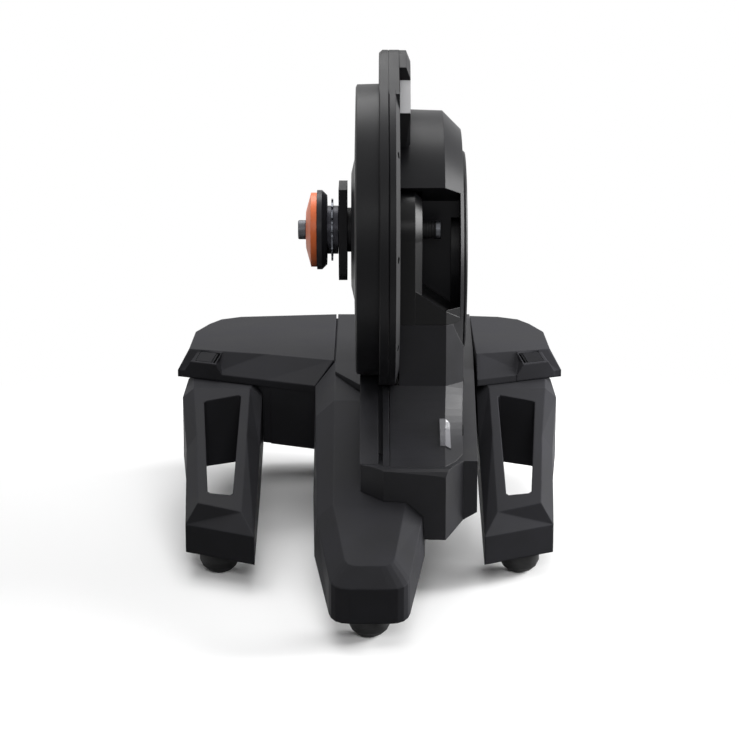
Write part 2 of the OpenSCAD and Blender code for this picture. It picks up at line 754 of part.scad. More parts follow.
module mast_shell() {
    color("#29292c") placed() {
        difference() {
            union() {
                prism_x([[-130, strip_front_z], [-20, 200], [40, 200], [40, strip_front_z]],
                    -mast_out_x, mast_in_x);
                prism_x([[-136, strip_front_z], [-100, 150], [-52, 180], [-30, 200], [40, 200],
                    [40, strip_front_z]], mast_strip_x, 19.4);
                prism_x([[-100, strip_front_z], [-26, 196], [40, 196], [40, strip_front_z]],
                    mast_in_x - eps, mast_strip_x + eps);
            }
            below_strip();
            leg_shape(run_gap);
            translate([0, 0, axle_z]) disc(ring_r + run_gap, ring_x0 - run_gap, 40);
            translate([0, 0, axle_z]) disc(cover_r + run_gap, -cover_x - 2, ring_x0);
        }
    }
}

module status_light() {
    color("#8a8a8e") placed() difference() {
        intersection() {
            translate([0.5, -0.9, 0.9]) flat_skin([for (p = sweep) sweep_loop(p)]);
            translate([tower_edge_x - 7, -101, strip_front_z]) cube([light_w, light_len, 40]);
        }
        flat_skin([for (p = sweep) sweep_loop(p)]);
    }
}

module power_socket() {
    color("#17171a") placed() translate([tower_out_x - 14, -socket_y, socket_z]) rotate([0, 90, 0]) difference() {
        cylinder(h = 13.3, r = socket_r, $fn = small_fn);
        translate([0, 0, 2]) cylinder(h = 20, r = plug_r, $fn = small_fn);
    }
}

module control_board() {
    color("#1f5a35") placed() {
        prism_x([[-54, 165], [-43, 178], [-36, 184], [-7, 184], [-7, 165]], 26, 26 + board_t);
        translate([26 + board_t, -36, 170]) cube([2, 10, 10]);
        translate([26 + board_t, -49, 166]) cube([6, 9, 6]);
        translate([26 + board_t, -20, 167]) cube([4, 9, 9]);
    }
}

// core casting

core_corner_y = 1 - boss_r + recess_x - run_gap - tower_edge_x;
ceiling_z = 388.5;
ceiling_low_z = 369.5;

// open space in front of the housing, round the end of the axle
module recess_space() {
    prism_x([[-80, ledge_z - 1], [-80, ceiling_z + 1], [-8, ceiling_z], [recess_y, ceiling_low_z],
        [recess_y, ledge_z - 1]], ring_x3 - 1, recess_x);
}

module core_casting() {
    color("#141416") difference() {
        union() {
            at_axle() turned_x([[0, ring_x3], [boss_r, ring_x3], [boss_r, boss_x1],
                [boss_r - boss_x2 + boss_x1, boss_x2], [0, boss_x2]]);
            // straight front below the boss, with the same chamfer
            placed() prism_z([[ring_x3, 0.5 - boss_r], [boss_x1, 0.5 - boss_r],
                [boss_x2, 0.5 - boss_r + boss_x2 - boss_x1], [boss_x2, recess_y - run_gap],
                [ring_x3, recess_y - run_gap]], ledge_z, axle_z);
            // block with the sloping floor of the recess
            placed() intersection() {
                prism_y([[ring_x3 + 1, ledge_z], [recess_x - run_gap, ledge_z],
                    [recess_x - run_gap, recess_low_z], [boss_x1, recess_z], [ring_x3 + 1, recess_z]],
                    -boss_r, recess_y - run_gap - 0.2);
                prism_z([[ring_x3 + 1, 1 - boss_r], [tower_edge_x, 1 - boss_r], [recess_x - run_gap, core_corner_y],
                    [recess_x - run_gap, recess_y], [ring_x3 + 1, recess_y]], ledge_z, axle_z);
            }
            // upright rim at the outer corner
            placed() prism_z([[tower_edge_x, 1.2 - boss_r], [recess_x - run_gap - 0.2, core_corner_y + 0.2],
                [recess_x - run_gap - 3.4, core_corner_y + 0.2], [tower_edge_x - 1.4, 3.2 - boss_r]],
                ledge_z, ledge_z + band_h);
        }
        at_axle() disc(hub_bearing_r, ring_x3 - 1, hub_x + run_gap);
        at_axle() disc(axle_r, 0, 80, small_fn);
    }
}

// ring halves with the fin

fin_top = fin_z - axle_z;
hand_z = fin_top - 57;
fin_line = [[-56, 144], [-10, fin_top - 13.5], [25, fin_top - 1.5], [33, fin_top], [75, fin_top - 12],
    [95, fin_top - 19], [124, fin_top - 50], [134, 74], [96, 60], [-56, 60]];

module hand_opening(x0, x1) {
    prism_x([[40, hand_z + 6], [46, hand_z], [34 + hand_len, hand_z], [40 + hand_len, hand_z + 6],
        [32 + hand_len, hand_z + hand_h], [46, hand_z + hand_h], [40, hand_z + hand_h - 6]], x0, x1);
}

module ring_holes(x0, x1) {
    disc(hub_bearing_r, x0, x1);
    translate([0, drum_y, drum_z - axle_z]) disc(wheel_bearing_r, x0, x1, small_fn);
    hand_opening(x0, x1);
}

module backplate() {
    color("#202023") at_axle() {
        difference() {
            union() {
                turned_x([[0, ring_x0], [ring_r - ring_bevel, ring_x0], [ring_r, ring_x0 + ring_bevel],
                    [ring_r, ring_x1 - ring_bevel], [ring_r - ring_bevel, ring_x1], [0, ring_x1]]);
                intersection() {
                    prism_x(fin_line, ring_x0, ring_x1);
                    prism_y([[ring_x0, 50], [ring_x0, fin_top - fin_chamfer * 1.4], [ring_x0 + fin_chamfer, fin_top + 1],
                        [ring_x1 - ring_bevel, fin_top + 1], [ring_x1, fin_top - ring_bevel * 2], [ring_x1, 50]],
                        -80, 160);
                }
            }
            ring_holes(ring_x0 - 1, ring_x1 + 1);
        }
    }
}

module screw_spots() {
    // the place that falls into the hand opening stays free
    for (i = [0:ring_screws_n - 1]) if (i != 1)
        rotate([-90 + (i + 0.5) * 360 / ring_screws_n, 0, 0]) translate([0, 0, ring_cone_r + 6]) children();
}

module ring_cover() {
    color("#242427") at_axle() {
        difference() {
            union() {
                turned_x([[0, ring_x1], [ring_r - ring_bevel, ring_x1], [ring_r, ring_x1 + ring_bevel],
                    [ring_r, ring_x2], [ring_cone_r, ring_x3], [0, ring_x3]]);
                intersection() {
                    prism_x(fin_line, ring_x1, ring_x3);
                    prism_y([[ring_x1, 50], [ring_x1, fin_top - ring_bevel * 2], [ring_x1 + ring_bevel, fin_top + 1],
                        [ring_x3, fin_top + 1], [ring_x3, 50]], -80, 160);
                }
            }
            ring_holes(ring_x1 - 1, ring_x3 + 1);
            screw_spots() rotate([0, 90, 0]) cylinder(h = 60, r = ring_screw_r, $fn = small_fn);
        }
    }
}

module ring_screws() {
    color("#0d0d0f") at_axle() screw_spots() translate([ring_x1 + 1, 0, 0]) rotate([0, 90, 0]) difference() {
        cylinder(h = 6.4, r = ring_screw_r, $fn = small_fn);
        translate([0, 0, 4.6]) cylinder(h = 3, r = ring_screw_r / 2, $fn = 6);
    }
}

grip_front = [[0, 161.7], [10, 147.5], [-6, 117.3], [14, 79.7]];
panel_out = [-1.06, 0.56];
grip_side = [[9, 149], [10, 147.5], [-6, 117.3], [14, 83]];
grip_back = [[112, 84], [123, fin_top - 52], [95, fin_top - 21], [75, fin_top - 13], [33, fin_top - 0.4],
    [22, fin_top - 3]];
function grip_loop(x, front, drop) = concat(
    [for (i = [len(grip_back) - 1:-1:0]) let (p = grip_back[i]) [x, p[0], p[1] - (p[1] > 120 ? drop : 0)]],
    [for (i = [len(front) - 1:-1:0]) [x, front[i][0], front[i][1]]]);

module carry_grip() {
    color("#1b1b1e") at_axle() {
        difference() {
            flat_skin([grip_loop(ring_x3, grip_front, 0), grip_loop(ring_x3 + grip_t - grip_chamfer, grip_front, 0),
                grip_loop(ring_x3 + grip_t, grip_side, 11)]);
            hand_opening(ring_x3 - 1, ring_x3 + grip_t + 1);
            translate([0, drum_y, drum_z - axle_z]) disc(drum_r + run_gap, ring_x3 - 1, 60);
        }
    }
}

// light panel on the front of the grip
module grip_panel() {
    color("#b8b8ba") at_axle() prism_x([grip_front[1], grip_front[1] + panel_out, grip_front[2] + panel_out,
        grip_front[2]], ring_x3 + 0.8, ring_x3 + grip_t - 0.1);
}

module pulley_cover() {
    color("#2b2b2e") at_axle() turned_x([[neck_r - 4, -cover_x - cover_dome], [cover_dome_r, -cover_x - cover_dome],
        [cover_dome_r + 13.5, -cover_x - 1.4], [cover_r - 3.5, -cover_x], [cover_r - 0.6, 1.4 - cover_x],
        [cover_r, ring_x0],
        [cover_r - cover_wall, ring_x0], [cover_r - cover_wall, cover_wall - cover_x],
        [cover_dome_r, cover_wall - cover_x - 1], [neck_r - 4, cover_wall - cover_x - 1]]);
}

// flywheel housing

module drum_body() {
    turned_x([[0, ring_x3], [drum_r, ring_x3], [drum_r - 1.5, drum_edge_x],
        [drum_r - 1.5 - drum_out_x + drum_edge_x, drum_out_x], [0, drum_out_x]]);
}

module flywheel_housing() {
    color("#303034") placed() {
        difference() {
            translate([0, drum_y, drum_z]) difference() {
                drum_body();
                disc(wheel_r + 2, ring_x3 + 3, wheel_x1 + 2);
                disc(wheel_bearing_r, ring_x3 - 1, drum_out_x - 3, small_fn);
                // light pocket behind the round cover
                tube(lid_r - 6, wheel_r + 8, drum_out_x - 12, drum_out_x + 1);
            }
            recess_space();
            translate([0, 0, axle_z]) disc(boss_r + run_gap, ring_x3 - 1, boss_x2 + run_gap);
        }
    }
}

module flywheel_cover() {
    color("#3a3a3e") placed() translate([0, drum_y, drum_z]) difference() {
        turned_x([[0, drum_out_x], [lid_r, drum_out_x], [lid_r, lid_x - 1.6], [lid_r - 1.6, lid_x], [0, lid_x]]);
        turned_x([[lid_r - 22, lid_x - 0.8], [lid_r - 20, lid_x - 0.8], [lid_r - 20, lid_x + 1], [lid_r - 22, lid_x + 1]]);
    }
}

// axle group

module axle() {
    color("#b9bbbf") at_axle() tube(axle_r, thru_r, -left_cap_x, right_cap_x);
}

module left_end_cap() {
    color("#d4d6d9") at_axle() difference() {
        turned_x([[0, -axle_half], [end_cap_r - 0.8, -axle_half], [end_cap_r, 0.8 - axle_half],
            [end_cap_r, -left_cap_x], [0, -left_cap_x]]);
        disc(thru_r, -axle_half - 1, 1 - left_cap_x);
    }
}

module right_end_cap() {
    color("#d4d6d9") at_axle() difference() {
        turned_x([[0, right_cap_x], [end_cap_r, right_cap_x], [end_cap_r, axle_half - 0.8],
            [end_cap_r - 0.8, axle_half], [0, axle_half]]);
        disc(thru_r, right_cap_x - 1, axle_half + 1);
    }
}

module right_spacer() {
    color("#151517") at_axle() difference() {
        disc(spacer_r, boss_x2, right_cap_x);
        disc(axle_r, boss_x2 - 1, right_cap_x + 1);
        for (i = [0:spacer_grooves - 1])
            translate([spacer_x + 2.5 + i * 2.8, 0, 0]) tube(spacer_r + 1, spacer_r - 0.35, 0, 1.2);
    }
}

module inner_guard() {
    color("#1d1d20") at_axle() difference() {
        union() {
            disc(neck_r, -inner_x1 - eps, -cover_x - cover_dome);
            prism_x([[-inner_w, inner_top], [inner_w, inner_top], [inner_w, 6], [inner_w, -inner_low + 24],
                [inner_w * 0.8, -inner_low + 9], [inner_w * 0.4, -inner_low + 1.5], [0, -inner_low],
                [-inner_w * 0.4, -inner_low + 1.5], [-inner_w * 0.8, -inner_low + 9], [-inner_w, -inner_low + 24],
                [-inner_w, 6]], -inner_x0, -inner_x1);
        }
        disc(hub_r + run_gap, -inner_x0 - 1, -cover_x);
    }
}

module hub_bearings() {
    color("#9da0a4") at_axle() {
        tube(hub_bearing_r, hub_r, ring_x0 + 4, ring_x1);
        tube(hub_bearing_r, hub_r, hub_x - 8, hub_x);
    }
}

// drive

module hub_shell() {
    color("#8f9296") at_axle() tube(hub_r - 0.05, axle_r + 0.05, -inner_x0, hub_x);
}

module drive_pulley() {
    color("#2a2a2c") at_axle() difference() {
        union() {
            tube(big_r, big_r - 8, belt_x - belt_w / 2 - 0.5, belt_x + belt_w / 2 + 0.5);
            tube(big_r - 7, hub_r - 0.05, belt_x - 2, belt_x + 2);
            tube(hub_r + 6, hub_r - 0.05, belt_x - belt_w / 2, belt_x + belt_w / 2);
        }
        for (i = [0:4]) rotate([i * 72, 0, 0]) translate([0, 0, big_r * 0.56]) disc(15, -20, 20, small_fn);
    }
}

module freehub_body() {
    color("#5f6165") at_axle() difference() {
        union() {
            disc(freehub_r, -cap_x + 0.6, -inner_x0 - run_gap);
            disc(cog_spacer_r, -guard_x1, -inner_x0 - run_gap - 0.2);
        }
        disc(axle_r + 0.05, -cap_x - 1, -20);
        disc(cog_spacer_r + 1, -cog_x - cog_t / 2, -cog_x + cog_t / 2);
    }
}

module sprocket() {
    color("#8d9095") at_axle() difference() {
        disc(cog_r, -cog_x - cog_t / 2, -cog_x + cog_t / 2);
        disc(axle_r + 0.05, -cog_x - cog_t, -cog_x + cog_t, small_fn);
        for (i = [0:cog_teeth - 1]) rotate([(i + 0.5) * 360 / cog_teeth, 0, 0]) translate([0, 0, cog_r - 1.4])
            disc(4, -cog_x - cog_t, -cog_x + cog_t, 24);
    }
}

module guard_disc() {
    color("#2c2c2f") at_axle() difference() {
        turned_x([[0, -guard_x0], [guard_r, -guard_x0], [guard_r, -guard_x1 - 5], [guard_r - 5, -guard_x1], [0, -guard_x1]]);
        disc(freehub_r, -guard_x0 - 1, 1 - guard_x1);
    }
}

module cap_disc() {
    color("#d9703f") at_axle() difference() {
        turned_x([[0, -cap_x], [cap_small_r, -cap_x], [cap_r, -cap_x + 5], [cap_r, -guard_x0], [0, -guard_x0]]);
        disc(freehub_r, -cap_x + 0.6, 1 - guard_x0);
        disc(axle_r + 0.05, -cap_x - 1, 1 - guard_x0, small_fn);
    }
}

module flywheel() {
    color("#4d4f53") placed() translate([0, drum_y, drum_z]) difference() {
        turned_x([[shaft_r, wheel_x0], [wheel_r - 1, wheel_x0], [wheel_r, wheel_x0 + 1], [wheel_r, wheel_x1 - 1],
            [wheel_r - 1, wheel_x1], [wheel_r - 18, wheel_x1], [wheel_r - 20, wheel_x1 - 8], [24, wheel_x1 - 8],
            [22, wheel_x1], [shaft_r, wheel_x1]]);
        rotate([20, 0, 0]) translate([0, 0, wheel_r - 8]) disc(4, wheel_x1 - 6, wheel_x1 + 1, small_fn);
    }
}

module flywheel_shaft() {
    color("#a4a7ab") placed() translate([0, drum_y, drum_z]) disc(shaft_r, belt_x - belt_w / 2 - 1, drum_out_x - 4);
}

module flywheel_pulley() {
    color("#56585c") placed() translate([0, drum_y, drum_z])
        tube(small_r, shaft_r, belt_x - belt_w / 2 - 0.5, belt_x + belt_w / 2 + 0.5);
}

module flywheel_bearings() {
    color("#9da0a4") placed() translate([0, drum_y, drum_z]) {
        tube(wheel_bearing_r, shaft_r + 0.05, ring_x0 + 2, ring_x1);
        tube(wheel_bearing_r, shaft_r + 0.05, wheel_x1 + 5, drum_out_x - 3);
    }
}

module brake_ring() {
    color("#7a4a2a") placed() translate([0, drum_y, drum_z])
        tube(wheel_r + 2, 30, ring_x3 + 3, wheel_x0 - 1);
}

// belt

span_y = drum_y;
span_z = drum_z - axle_z;
span = norm([span_y, span_z]);
span_angle = atan2(span_z, span_y);
wrap_angle = acos((big_r - small_r) / span);

module belt_area(g) {
    circle(r = big_r + g, $fn = round_fn);
    translate([span_y, span_z]) circle(r = small_r + g, $fn = small_fn);
    up = span_angle + wrap_angle;
    low = span_angle - wrap_angle;
    polygon([(big_r + g) * [cos(up), sin(up)], [span_y, span_z] + (small_r + g) * [cos(up), sin(up)],
        [span_y, span_z] + (small_r + g) * [cos(low), sin(low)], (big_r + g) * [cos(low), sin(low)]]);
}

module drive_belt() {
    color("#19191b") at_axle() translate([belt_x - belt_w / 2, 0, 0]) rotate([90, 0, 90]) linear_extrude(belt_w)
        difference() {
            belt_area(run_gap + belt_t);
            belt_area(run_gap);
        }
}

idler_angle = span_angle - wrap_angle;
idler_mid = [span_y, span_z] * 0.6
    + (mix(big_r, small_r, 0.6) + belt_t + 2 * run_gap + idler_r) * [cos(idler_angle), sin(idler_angle)];

module idler_pulley() {
    color("#77797d") at_axle() translate([0, idler_mid[0], idler_mid[1]])
        tube(idler_r, 4.05, belt_x - belt_w / 2, belt_x + belt_w / 2, small_fn);
}

module tensioner_bracket() {
    color("#6a6c70") at_axle() {
        translate([0, idler_mid[0], idler_mid[1]]) disc(4, belt_x - belt_w / 2, ring_x0, small_fn);
        prism_x([[idler_mid[0] - 8, idler_mid[1] - 8], [idler_mid[0] + 20, idler_mid[1] - 2],
            [idler_mid[0] + 20, idler_mid[1] + 10], [idler_mid[0] - 8, idler_mid[1] + 8]], ring_x0 - 2, ring_x0);
    }
}

// feet and screws

foot_screw_z = 10;

module rubber_foot() {
    difference() {
        rotate_extrude($fn = round_fn) polygon([[0, 0], [foot_flat_r, 0], [foot_r * 0.6, 2.5], [foot_r * 0.85, foot_round],
            [foot_r, foot_round * 1.9], [foot_r, foot_h], [0, foot_h]]);
        translate([0, 0, foot_screw_z]) cylinder(h = foot_h, r = foot_screw_r, $fn = small_fn);
    }
}

module foot_screw() {
    translate([0, 0, foot_screw_z])
        cylinder(h = foot_h - foot_screw_z + foot_screw_len, r = foot_screw_r, $fn = small_fn);
}

module front_foot() {
    color("#151517") placed() translate([0, -front_foot_y, 0]) rubber_foot();
}

module rear_foot() {
    color("#151517") placed() translate([0, rear_foot_y, 0]) rubber_foot();
}

module left_foot() {
    color("#151517") placed() translate([-side_foot_x, -side_foot_y, 0]) rubber_foot();
}

module right_foot() {
    color("#151517") placed() translate([side_foot_x, -side_foot_y, 0]) rubber_foot();
}

module foot_screws() {
    color("#8b8d91") placed() {
        translate([0, -front_foot_y, 0]) foot_screw();
        translate([0, rear_foot_y, 0]) foot_screw();
    }
}

module side_foot_screws_left() {
    color("#8b8d91") placed() translate([-side_foot_x, -side_foot_y, 0]) foot_screw();
}

module side_foot_screws_right() {
    color("#8b8d91") placed() translate([side_foot_x, -side_foot_y, 0]) foot_screw();
}

// side legs, drawn for +X

toe_in = [114, -93];
toe_out = [185, -53];
face_slope = (root_top - toe_top_z) / (lip_y + 53);
function face_z(y) = toe_top_z + face_slope * (y + 53);
face_in = [toe_in[0] + 14, toe_in[1] + 30];
face_out = [toe_out[0] - 12.5, toe_out[1] + 4];

side_floor = [[109, 250, root_z], [115, 200, root_z], [115, lip_y, 69], [114.5, 60, 51], [toe_in[0], toe_in[1], foot_h],
    [toe_out[0], toe_out[1], foot_h], [191, 60, 51], [200, lip_y, 69], [198, 200, root_z], [191, 250, root_z]];
side_crease = [[109, 250, 140], [115, 200, 138], [115, lip_y, 134], [114.5, 60, 99], [toe_in[0], toe_in[1], toe_crease_z],
    [toe_out[0], toe_out[1], toe_crease_z], [191, 60, 99], [200, lip_y, 134], [198, 200, 138], [191, 250, 140]];
side_face = [[112, 250, root_top], [119, 200, root_top], [128, lip_y, root_top], [128, 60, face_z(60)],
    [face_in[0], face_in[1], face_z(face_in[1])], [face_out[0], face_out[1], face_z(face_out[1])], [180, 60, face_z(60)],
    [188, lip_y, root_top], [192, 200, root_top], [188, 250, root_top]];

module side_window(front_y, low_z) {
    c = window_corner;
    prism_z([[138, front_y + c], [138 + c, front_y], [163 - c, front_y + 3], [163.5, front_y + 3 + c],
        [175.5, window_rear_y - 4 - c], [175.5 - c, window_rear_y - 4], [136.7 + c, window_rear_y + 6],
        [136.7, window_rear_y + 6 - c]], low_z, root_top + 1);
}

module side_leg() {
    difference() {
        union() {
            skin([for (loop = [side_floor, side_crease, side_face]) [for (i = [len(loop) - 1:-1:0]) loop[i]]]);
            translate([pivot_x, pivot_y, root_z]) cylinder(h = root_top - root_z, r = root_r, $fn = round_fn);
            translate([side_foot_x, -side_foot_y, foot_h]) cylinder(h = 22, r = foot_r + 1, $fn = small_fn);
        }
        side_window(-window_front_y, foot_h + 18);
        side_window(18 - window_front_y, -1);
        translate([pivot_x, pivot_y, root_z - 20]) cylinder(h = 100, r = pin_r + pin_gap, $fn = small_fn);
        translate([bolt_x, bolt_y, root_top - bolt_grip - 2]) cylinder(h = 40, r = bolt_r + bolt_gap, $fn = small_fn);
        translate([side_foot_x, -side_foot_y, 0]) cylinder(h = foot_h + foot_screw_len, r = foot_screw_r, $fn = small_fn);
    }
}

module left_leg() {
    color("#434347") placed() mirror([1, 0, 0]) side_leg();
}

module right_leg() {
    color("#434347") placed() side_leg();
}

module pivot_pin() {
    translate([pivot_x, pivot_y, flange_z - flange_t])
        cylinder(h = deck_z - 12 - flange_z + flange_t, r = pin_r, $fn = small_fn);
}

module left_pivot_pin() {
    color("#9a9da1") placed() mirror([1, 0, 0]) pivot_pin();
}

module right_pivot_pin() {
    color("#9a9da1") placed() pivot_pin();
}

module latch() {
    at_button() translate([-button_len / 2, 0, -button_t]) difference() {
        cube([button_len, button_run, button_t]);
        translate([-1, -1, button_t - 0.8]) cube([3, button_run + 2, 2]);
    }
}

module left_latch() {
    color("#2f2f33") placed() mirror([1, 0, 0]) latch();
}

module right_latch() {
    color("#2f2f33") placed() latch();
}

module latch_bolt() {
    translate([bolt_x, bolt_y, cap_z]) cylinder(h = bolt_len, r = bolt_r, $fn = small_fn);
}

module left_latch_bolt() {
    color("#a4a7ab") placed() mirror([1, 0, 0]) latch_bolt();
}

module right_latch_bolt() {
    color("#a4a7ab") placed() latch_bolt();
}

front_leg();
base_body();
top_plate();
left_arm();
right_arm();
tower_base();
tower_shell();
mast_shell();
core_casting();
backplate();
ring_cover();
carry_grip();
grip_panel();
pulley_cover();
flywheel_housing();
flywheel_cover();
status_light();
power_socket();
axle();
left_end_cap();
right_spacer();
right_end_cap();
inner_guard();
front_foot();
rear_foot();
left_foot();
right_foot();
foot_screws();
side_foot_screws_left();
side_foot_screws_right();
ring_screws();
control_board();
brake_ring();
tensioner_bracket();
idler_pulley();
hub_shell();
drive_pulley();
hub_bearings();
freehub_body();
sprocket();
guard_disc();
cap_disc();
flywheel();
flywheel_shaft();
flywheel_pulley();
flywheel_bearings();
drive_belt();
left_leg();
right_leg();
left_pivot_pin();
right_pivot_pin();
left_latch();
right_latch();
left_latch_bolt();
right_latch_bolt();
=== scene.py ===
import bpy, bmesh, math
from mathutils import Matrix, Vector

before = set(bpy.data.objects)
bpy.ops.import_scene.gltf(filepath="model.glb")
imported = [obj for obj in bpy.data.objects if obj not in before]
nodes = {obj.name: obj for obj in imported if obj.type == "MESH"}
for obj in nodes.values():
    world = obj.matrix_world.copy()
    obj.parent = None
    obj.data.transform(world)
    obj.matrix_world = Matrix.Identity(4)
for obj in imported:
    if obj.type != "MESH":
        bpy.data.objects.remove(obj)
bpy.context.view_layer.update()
print("trainer parts loaded:", len(nodes))

# camera, from the photo: long lens, a little above the hub
viewFrom = {"place": (0.0, -2.4952, 0.8379), "tiltDeg": 75.4, "lensMm": 121.8, "sensorMm": 36, "reachM": 60}
camData = bpy.data.cameras.new("photoCamera")
camData.lens = viewFrom["lensMm"]
camData.sensor_width = viewFrom["sensorMm"]
camData.clip_end = viewFrom["reachM"]
cam = bpy.data.objects.new("photoCamera", camData)
cam.location = viewFrom["place"]
cam.rotation_euler = (math.radians(viewFrom["tiltDeg"]), 0, 0)
bpy.context.scene.collection.objects.link(cam)
bpy.context.scene.camera = cam
print("camera set")


def linear(hexColour):  # sRGB hex to the linear values that sockets take
    vals = [int(hexColour[i:i + 2], 16) / 255 for i in (1, 3, 5)]
    return tuple(v / 12.92 if v <= 0.04045 else ((v + 0.055) / 1.055) ** 2.4 for v in vals) + (1.0,)


def addNode(tree, kind, settings=None, inputs=None):  # one node, its settings and its links or values
    node = tree.nodes.new(kind)
    for key, value in (settings or {}).items():
        setattr(node, key, value)
    for key, value in (inputs or {}).items():
        if isinstance(value, bpy.types.NodeSocket):
            tree.links.new(value, node.inputs[key])
        else:
            node.inputs[key].default_value = value
    return node


def emptyMaterial(name):
    mat = bpy.data.materials.new(name)
    mat.use_nodes = True
    tree = mat.node_tree
    tree.nodes.clear()
    return mat, tree, addNode(tree, "ShaderNodeOutputMaterial")


def startMaterial(name):  # the same, with the object's own coordinates for its patterns
    mat, tree, out = emptyMaterial(name)
    coord = addNode(tree, "ShaderNodeTexCoord").outputs["Object"]
    return mat, tree, out, coord


colourBand = (0.35, 0.65)  # part of a noise's range over which two colours blend
roughBand = (0.3, 0.7)  # the same for two roughness values


def coloursBetween(tree, fac, low, high):
    ramp = addNode(tree, "ShaderNodeValToRGB", None, {"Fac": fac})
    for element, place, colour in zip(ramp.color_ramp.elements, colourBand, (low, high)):
        element.position = place
        element.color = linear(colour)
    return ramp.outputs["Color"]


def valuesBetween(tree, fac, low, high):
    return addNode(tree, "ShaderNodeMapRange", None, {
        "Value": fac, "From Min": roughBand[0], "From Max": roughBand[1],
        "To Min": low, "To Max": high}).outputs["Result"]


def perMetre(sizeMm):  # texture scale that gives features of this size
    return 1000 / sizeMm


def noisePatches(tree, coord, sizeMm, detail, extra=None):
    return addNode(tree, "ShaderNodeTexNoise", None, {
        "Vector": coord, "Scale": perMetre(sizeMm), "Detail": detail, **(extra or {})}).outputs["Fac"]


def roundedNormal(tree, p):  # edges that catch the light as if they had a small radius
    return addNode(tree, "ShaderNodeBevel", {"samples": 6}, {"Radius": p["roundMm"] / 1000}).outputs["Normal"]


def raised(tree, height, heightMm, strength, normal=None):
    inputs = {"Height": height, "Distance": heightMm / 1000, "Strength": strength}
    if normal:
        inputs["Normal"] = normal
    return addNode(tree, "ShaderNodeBump", None, inputs).outputs["Normal"]


def finishSurface(tree, out, p, colour, patches, normal):  # shader shared by all the finishes
    shade = addNode(tree, "ShaderNodeBsdfPrincipled", None, {
        "Base Color": colour, "Roughness": valuesBetween(tree, patches, *p["rough"]), "Normal": normal})
    for socket, key in (("IOR", "ior"), ("Specular IOR Level", "spec"), ("Metallic", "metallic")):
        if key in p:
            shade.inputs[socket].default_value = p[key]
    tree.links.new(shade.outputs["BSDF"], out.inputs["Surface"])


# powder coated cast aluminium: satin charcoal with a fine orange peel that breaks up the highlights,
# slow patches of dust and handling, and edges painted a little lighter as a painted edge highlight
castPaint = {
    "dark": "#28282a", "light": "#2c2c2f", "edge": "#3a3a3e", "rough": (0.48, 0.58), "spec": 0.03, "ior": 1.5,
    "peelMm": 1.4, "peelHeightMm": 0.03, "peelStrength": 0.6, "patchMm": 60, "roundMm": 2.2,
    "highlightFrom": 0.99, "highlightFull": 0.8, "highlightMost": 0.6,
}


def powderCoatedCasting(p, name):
    mat, tree, out, coord = startMaterial(name)
    peel = noisePatches(tree, coord, p["peelMm"], 3.0, {"Roughness": 0.55})
    patches = noisePatches(tree, coord, p["patchMm"], 4.0)
    rounded = roundedNormal(tree, p)
    flat = addNode(tree, "ShaderNodeNewGeometry").outputs["True Normal"]
    lean = addNode(tree, "ShaderNodeVectorMath", {"operation": "DOT_PRODUCT"}, {0: rounded, 1: flat})
    # painted edge highlight: where the rounded normal leans away from the flat one, the paint is mixed towards the
    # lighter edge colour
    edgeHighlightMask = addNode(tree, "ShaderNodeMapRange", None, {
        "Value": lean.outputs["Value"], "From Min": p["highlightFrom"], "From Max": p["highlightFull"],
        "To Min": 0.0, "To Max": p["highlightMost"]})
    paint = coloursBetween(tree, patches, p["dark"], p["light"])
    highlightedPaint = addNode(tree, "ShaderNodeMix", {"data_type": "RGBA"}, {
        "Factor": edgeHighlightMask.outputs["Result"], "A": paint, "B": linear(p["edge"])})
    normal = raised(tree, peel, p["peelHeightMm"], p["peelStrength"], rounded)
    finishSurface(tree, out, p, highlightedPaint.outputs["Result"], patches, normal)
    return mat


# moulded plastic: near black, with a fine spark-eroded grain from the mould and slow patches of dust
mouldedShell = {
    "dark": "#1e1e20", "light": "#232326", "rough": (0.4, 0.5), "spec": 0.1, "ior": 1.53,
    "grainMm": 0.8, "grainHeightMm": 0.03, "grainStrength": 0.5, "grainSoftness": 0.8, "patchMm": 45, "roundMm": 0.7,
}


def mouldedPlastic(p, name):
    mat, tree, out, coord = startMaterial(name)
    grain = addNode(tree, "ShaderNodeTexVoronoi", {"feature": "SMOOTH_F1"}, {
        "Vector": coord, "Scale": perMetre(p["grainMm"]), "Smoothness": p["grainSoftness"]}).outputs["Distance"]
    patches = noisePatches(tree, coord, p["patchMm"], 4.0)
    normal = raised(tree, grain, p["grainHeightMm"], p["grainStrength"], roundedNormal(tree, p))
    finishSurface(tree, out, p, coloursBetween(tree, patches, p["dark"], p["light"]), patches, normal)
    return mat


# turned steel and aluminium: shallow rings round the axle from the lathe, blotches of oil and fingerprints
# ringMm is the length of one radian of the rings' wave, so 0.5 puts the rings 3.1 mm apart
turnedSteel = {
    "dark": "#8e9094", "light": "#b4b6ba", "rough": (0.24, 0.36), "metallic": 1.0,
    "ringMm": 0.5, "ringHeightMm": 0.012, "ringStrength": 0.5, "ringWaver": 1.5, "patchMm": 12, "roundMm": 0.4,
}
radiansPerUnit = 20  # the wave texture turns this far for each unit of its scale


def turnedMetal(p, name):
    mat, tree, out, coord = startMaterial(name)
    rings = addNode(tree, "ShaderNodeTexWave", {"wave_type": "BANDS", "bands_direction": "X"}, {
        "Vector": coord, "Scale": perMetre(p["ringMm"]) / radiansPerUnit,
        "Distortion": p["ringWaver"], "Detail": 2.0}).outputs["Fac"]
    patches = noisePatches(tree, coord, p["patchMm"], 5.0)
    normal = raised(tree, rings, p["ringHeightMm"], p["ringStrength"], roundedNormal(tree, p))
    finishSurface(tree, out, p, coloursBetween(tree, patches, p["dark"], p["light"]), patches, normal)
    return mat


# vulcanised rubber: dull black with patches of grey bloom and fine mould speckle
footRubber = {
    "dark": "#101011", "light": "#1a1a1b", "rough": (0.62, 0.78), "spec": 0.3, "ior": 1.52,
    "speckMm": 0.9, "speckHeightMm": 0.05, "speckStrength": 0.5, "bloomMm": 18,
}


